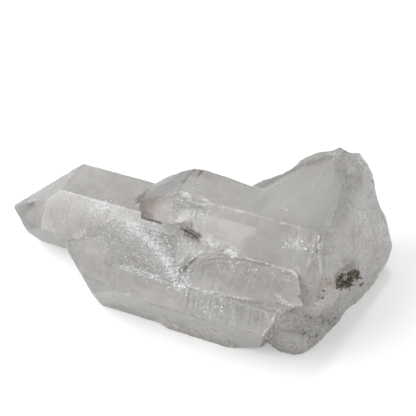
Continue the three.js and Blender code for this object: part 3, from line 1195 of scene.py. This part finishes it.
# a white colour that stands in for flashing facets: painted sparkle
bright, _, shader = plain_material("white_sparkle")
set_all(shader, Base_Color=(0.97, 0.98, 1, 1), Roughness=0.15)
set_all(shader, IOR=QUARTZ_IOR, Transmission_Weight=0.2)
sparkles.data.materials.append(bright)
print("crumbs:", len(sparkles.data.polygons), "faces")

# %% [markdown]
# ## Dirt in the pocket
# Dark soil has lodged in a pocket of the broken end, with a few grains round it. A particle
# system would be lost in the export, so each grain is a small uneven ball of the mesh,
# half sunk in the wall, and all grains are one piece.

# %% Where the dirt lies
# the outline of the dirt in pixels of the photo
DIRTY = [(335, 287), (338, 277), (343, 273), (351, 270)]
DIRTY += [(360, 271), (357, 280), (354, 286), (346, 289)]
# pixel and radius in mm of the loose grains
LOOSE = [(323, 298, 0.45), (324, 291, 0.35), (318, 297, 0.2)]
LOOSE += [(299, 296, 0.3), (330, 283, 0.25), (326, 279, 0.2)]
GRAIN_COUNT = 400
# size of a clump in mm, and the hill height from which grains lie in and round the pocket
CLUMP = 1.1
INSIDE_FROM = -0.1
OUTSIDE_FROM = 0.6
# left and upper end of the tried part of the photo, and its width and height, in pixels
TRY_LEFT, TRY_UPPER = 333, 262
TRY_WIDTH, TRY_HEIGHT = 30, 28
# radius in mm of the smallest grain, and how much larger a grain can be
FINEST_GRAIN = 0.09
GRAIN_RANGE = 0.24


def inside(u, v, outline):
    """True where a level line to the right of the spot crosses the outline an odd number of times."""
    crossings = 0
    for (a, b), (c, d) in zip(outline, outline[1:] + outline[:1]):
        if (b > v) != (d > v) and u < a + (v - b) * (c - a) / (d - b):
            crossings += 1
    return crossings % 2 == 1


def grain_spots(count):
    """Pixels and radii of grains in the pocket, in clumps with quartz showing between."""
    spots = []
    while len(spots) < count:
        u = TRY_LEFT + TRY_WIDTH * chance.random()
        v = TRY_UPPER + TRY_HEIGHT * chance.random()
        clump = hills(on_crystal(u, v)[None], CLUMP, 31)[0]
        if clump > (INSIDE_FROM if inside(u, v, DIRTY) else OUTSIDE_FROM):
            spots.append((u, v, FINEST_GRAIN + GRAIN_RANGE * chance.random() ** 2))
    return spots


dirty_spots = grain_spots(GRAIN_COUNT) + LOOSE
print("grains:", len(dirty_spots))

# %% Make the grains
UNEVEN = 0.3


def dirt_mesh(spots):
    """One mesh of uneven balls."""
    shape = bmesh.new()
    for u, v, radius in spots:
        place = Vector(on_crystal(u, v))
        turn = random_turn(4)
        squash = Matrix.Diagonal((*(0.7 + 0.5 * chance.random(3)), 1))
        pose = Matrix.Translation(place) @ turn @ squash
        ball = bmesh.ops.create_icosphere(shape, subdivisions=2, radius=radius * MM, matrix=pose)
        for vertex in ball["verts"]:
            vertex.co += (vertex.co - place) * UNEVEN * (chance.random() - 0.5)
    mesh = bpy.data.meshes.new("pocket_dirt")
    shape.to_mesh(mesh)
    shape.free()
    return mesh


dirt = placed("pocket_dirt", dirt_mesh(dirty_spots))
print("grains:", len(dirt.data.polygons), "faces")

# %% [markdown]
# ### The soil
# Soil is matt and dark, with lighter brown clumps and pale specks of broken quartz. The
# grain group of the quartz is used again here, at two sizes.

# %% Build the soil material
DARK_SOIL = (0.065, 0.053, 0.035, 1)
BROWN_SOIL = (0.34, 0.27, 0.18, 1)
PALE_SPECK = (0.5, 0.47, 0.41, 1)

soil, nodes, shader = plain_material("dark_soil")
clumps = placed_group(nodes, grain.tree, Scale=900.0, Cover=0.52)
pale_specks = placed_group(nodes, grain.tree, Scale=1500.0, Cover=0.45)
brown = nodes.mixed(clumps.outputs["Grains"], DARK_SOIL, BROWN_SOIL)
speckled = nodes.mixed(pale_specks.outputs["Grains"], brown, PALE_SPECK)
nodes.put(speckled, shader.inputs["Base Color"])
set_all(shader, Roughness=0.9)
dirt.data.materials.append(soil)
print("soil:", len(soil.node_tree.nodes), "nodes")

# %% [markdown]
# ## Table and light
# The photo has a white ground and soft light from the upper left, which throws a faint
# shadow to the right. A wide lamp and an even pale sky do the same. The lamp stands where
# no front face mirrors it towards the camera. A second, small lamp behind the specimen
# makes the etched corners flash. The floor glows a little for the camera only, so that it
# is as white as the photo's ground, and that glow doesn't light the crystal from below.

# %% Make the floor
FLOOR_GREY = (0.92, 0.92, 0.92, 1)
FLOOR_GLOW = 0.2
# the floor lies just below the specimen, so that the two surfaces don't meet
FLOOR_DROP = 0.05

sheet = bmesh.new()
bmesh.ops.create_grid(sheet, x_segments=1, y_segments=1, size=4)
floor_mesh = bpy.data.meshes.new("floor")
sheet.to_mesh(floor_mesh)
sheet.free()
floor = placed("floor", floor_mesh)
floor.location.z = -FLOOR_DROP * MM
paper, nodes, shader = plain_material("white_paper")
set_all(shader, Base_Color=FLOOR_GREY, Roughness=0.9, Specular_IOR_Level=0.0)
set_all(shader, Emission_Color=(1, 1, 1, 1))
seen = nodes.add("ShaderNodeLightPath").outputs["Is Camera Ray"]
nodes.put(nodes.times(seen, FLOOR_GLOW), shader.inputs["Emission Strength"])
floor.data.materials.append(paper)
print("floor:", [round(side) for side in floor.dimensions[:2]], "m")

# %% Make the sky and the lamps
SKY_STRENGTH = 0.62


def disk_lamp(name, place, size, watts):
    """A round lamp that shines at the specimen."""
    data = bpy.data.lights.new(name, "AREA")
    data.shape = "DISK"
    data.size = size
    data.energy = watts
    lamp = placed(name, data)
    lamp.location = place
    lamp.rotation_euler = (-lamp.location).to_track_quat("-Z", "Y").to_euler()
    print(name, "at", place)


sky = bpy.data.worlds.new("sky")
sky.use_nodes = True
set_all(sky.node_tree.nodes["Background"], Color=(1, 1, 1, 1), Strength=SKY_STRENGTH)
bpy.context.scene.world = sky
disk_lamp("soft_lamp", place=(-0.34, -0.29, 0.37), size=0.52, watts=2.7)
disk_lamp("spark_lamp", place=(-0.02, 0.12, 0.5), size=0.09, watts=0.35)
bpy.context.scene.view_settings.view_transform = "Standard"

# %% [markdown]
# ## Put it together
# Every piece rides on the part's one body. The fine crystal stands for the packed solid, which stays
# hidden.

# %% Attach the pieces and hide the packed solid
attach(crystal, "root")
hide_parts("quartz_cluster")
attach(sparkles, "root")
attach(dirt, "root")
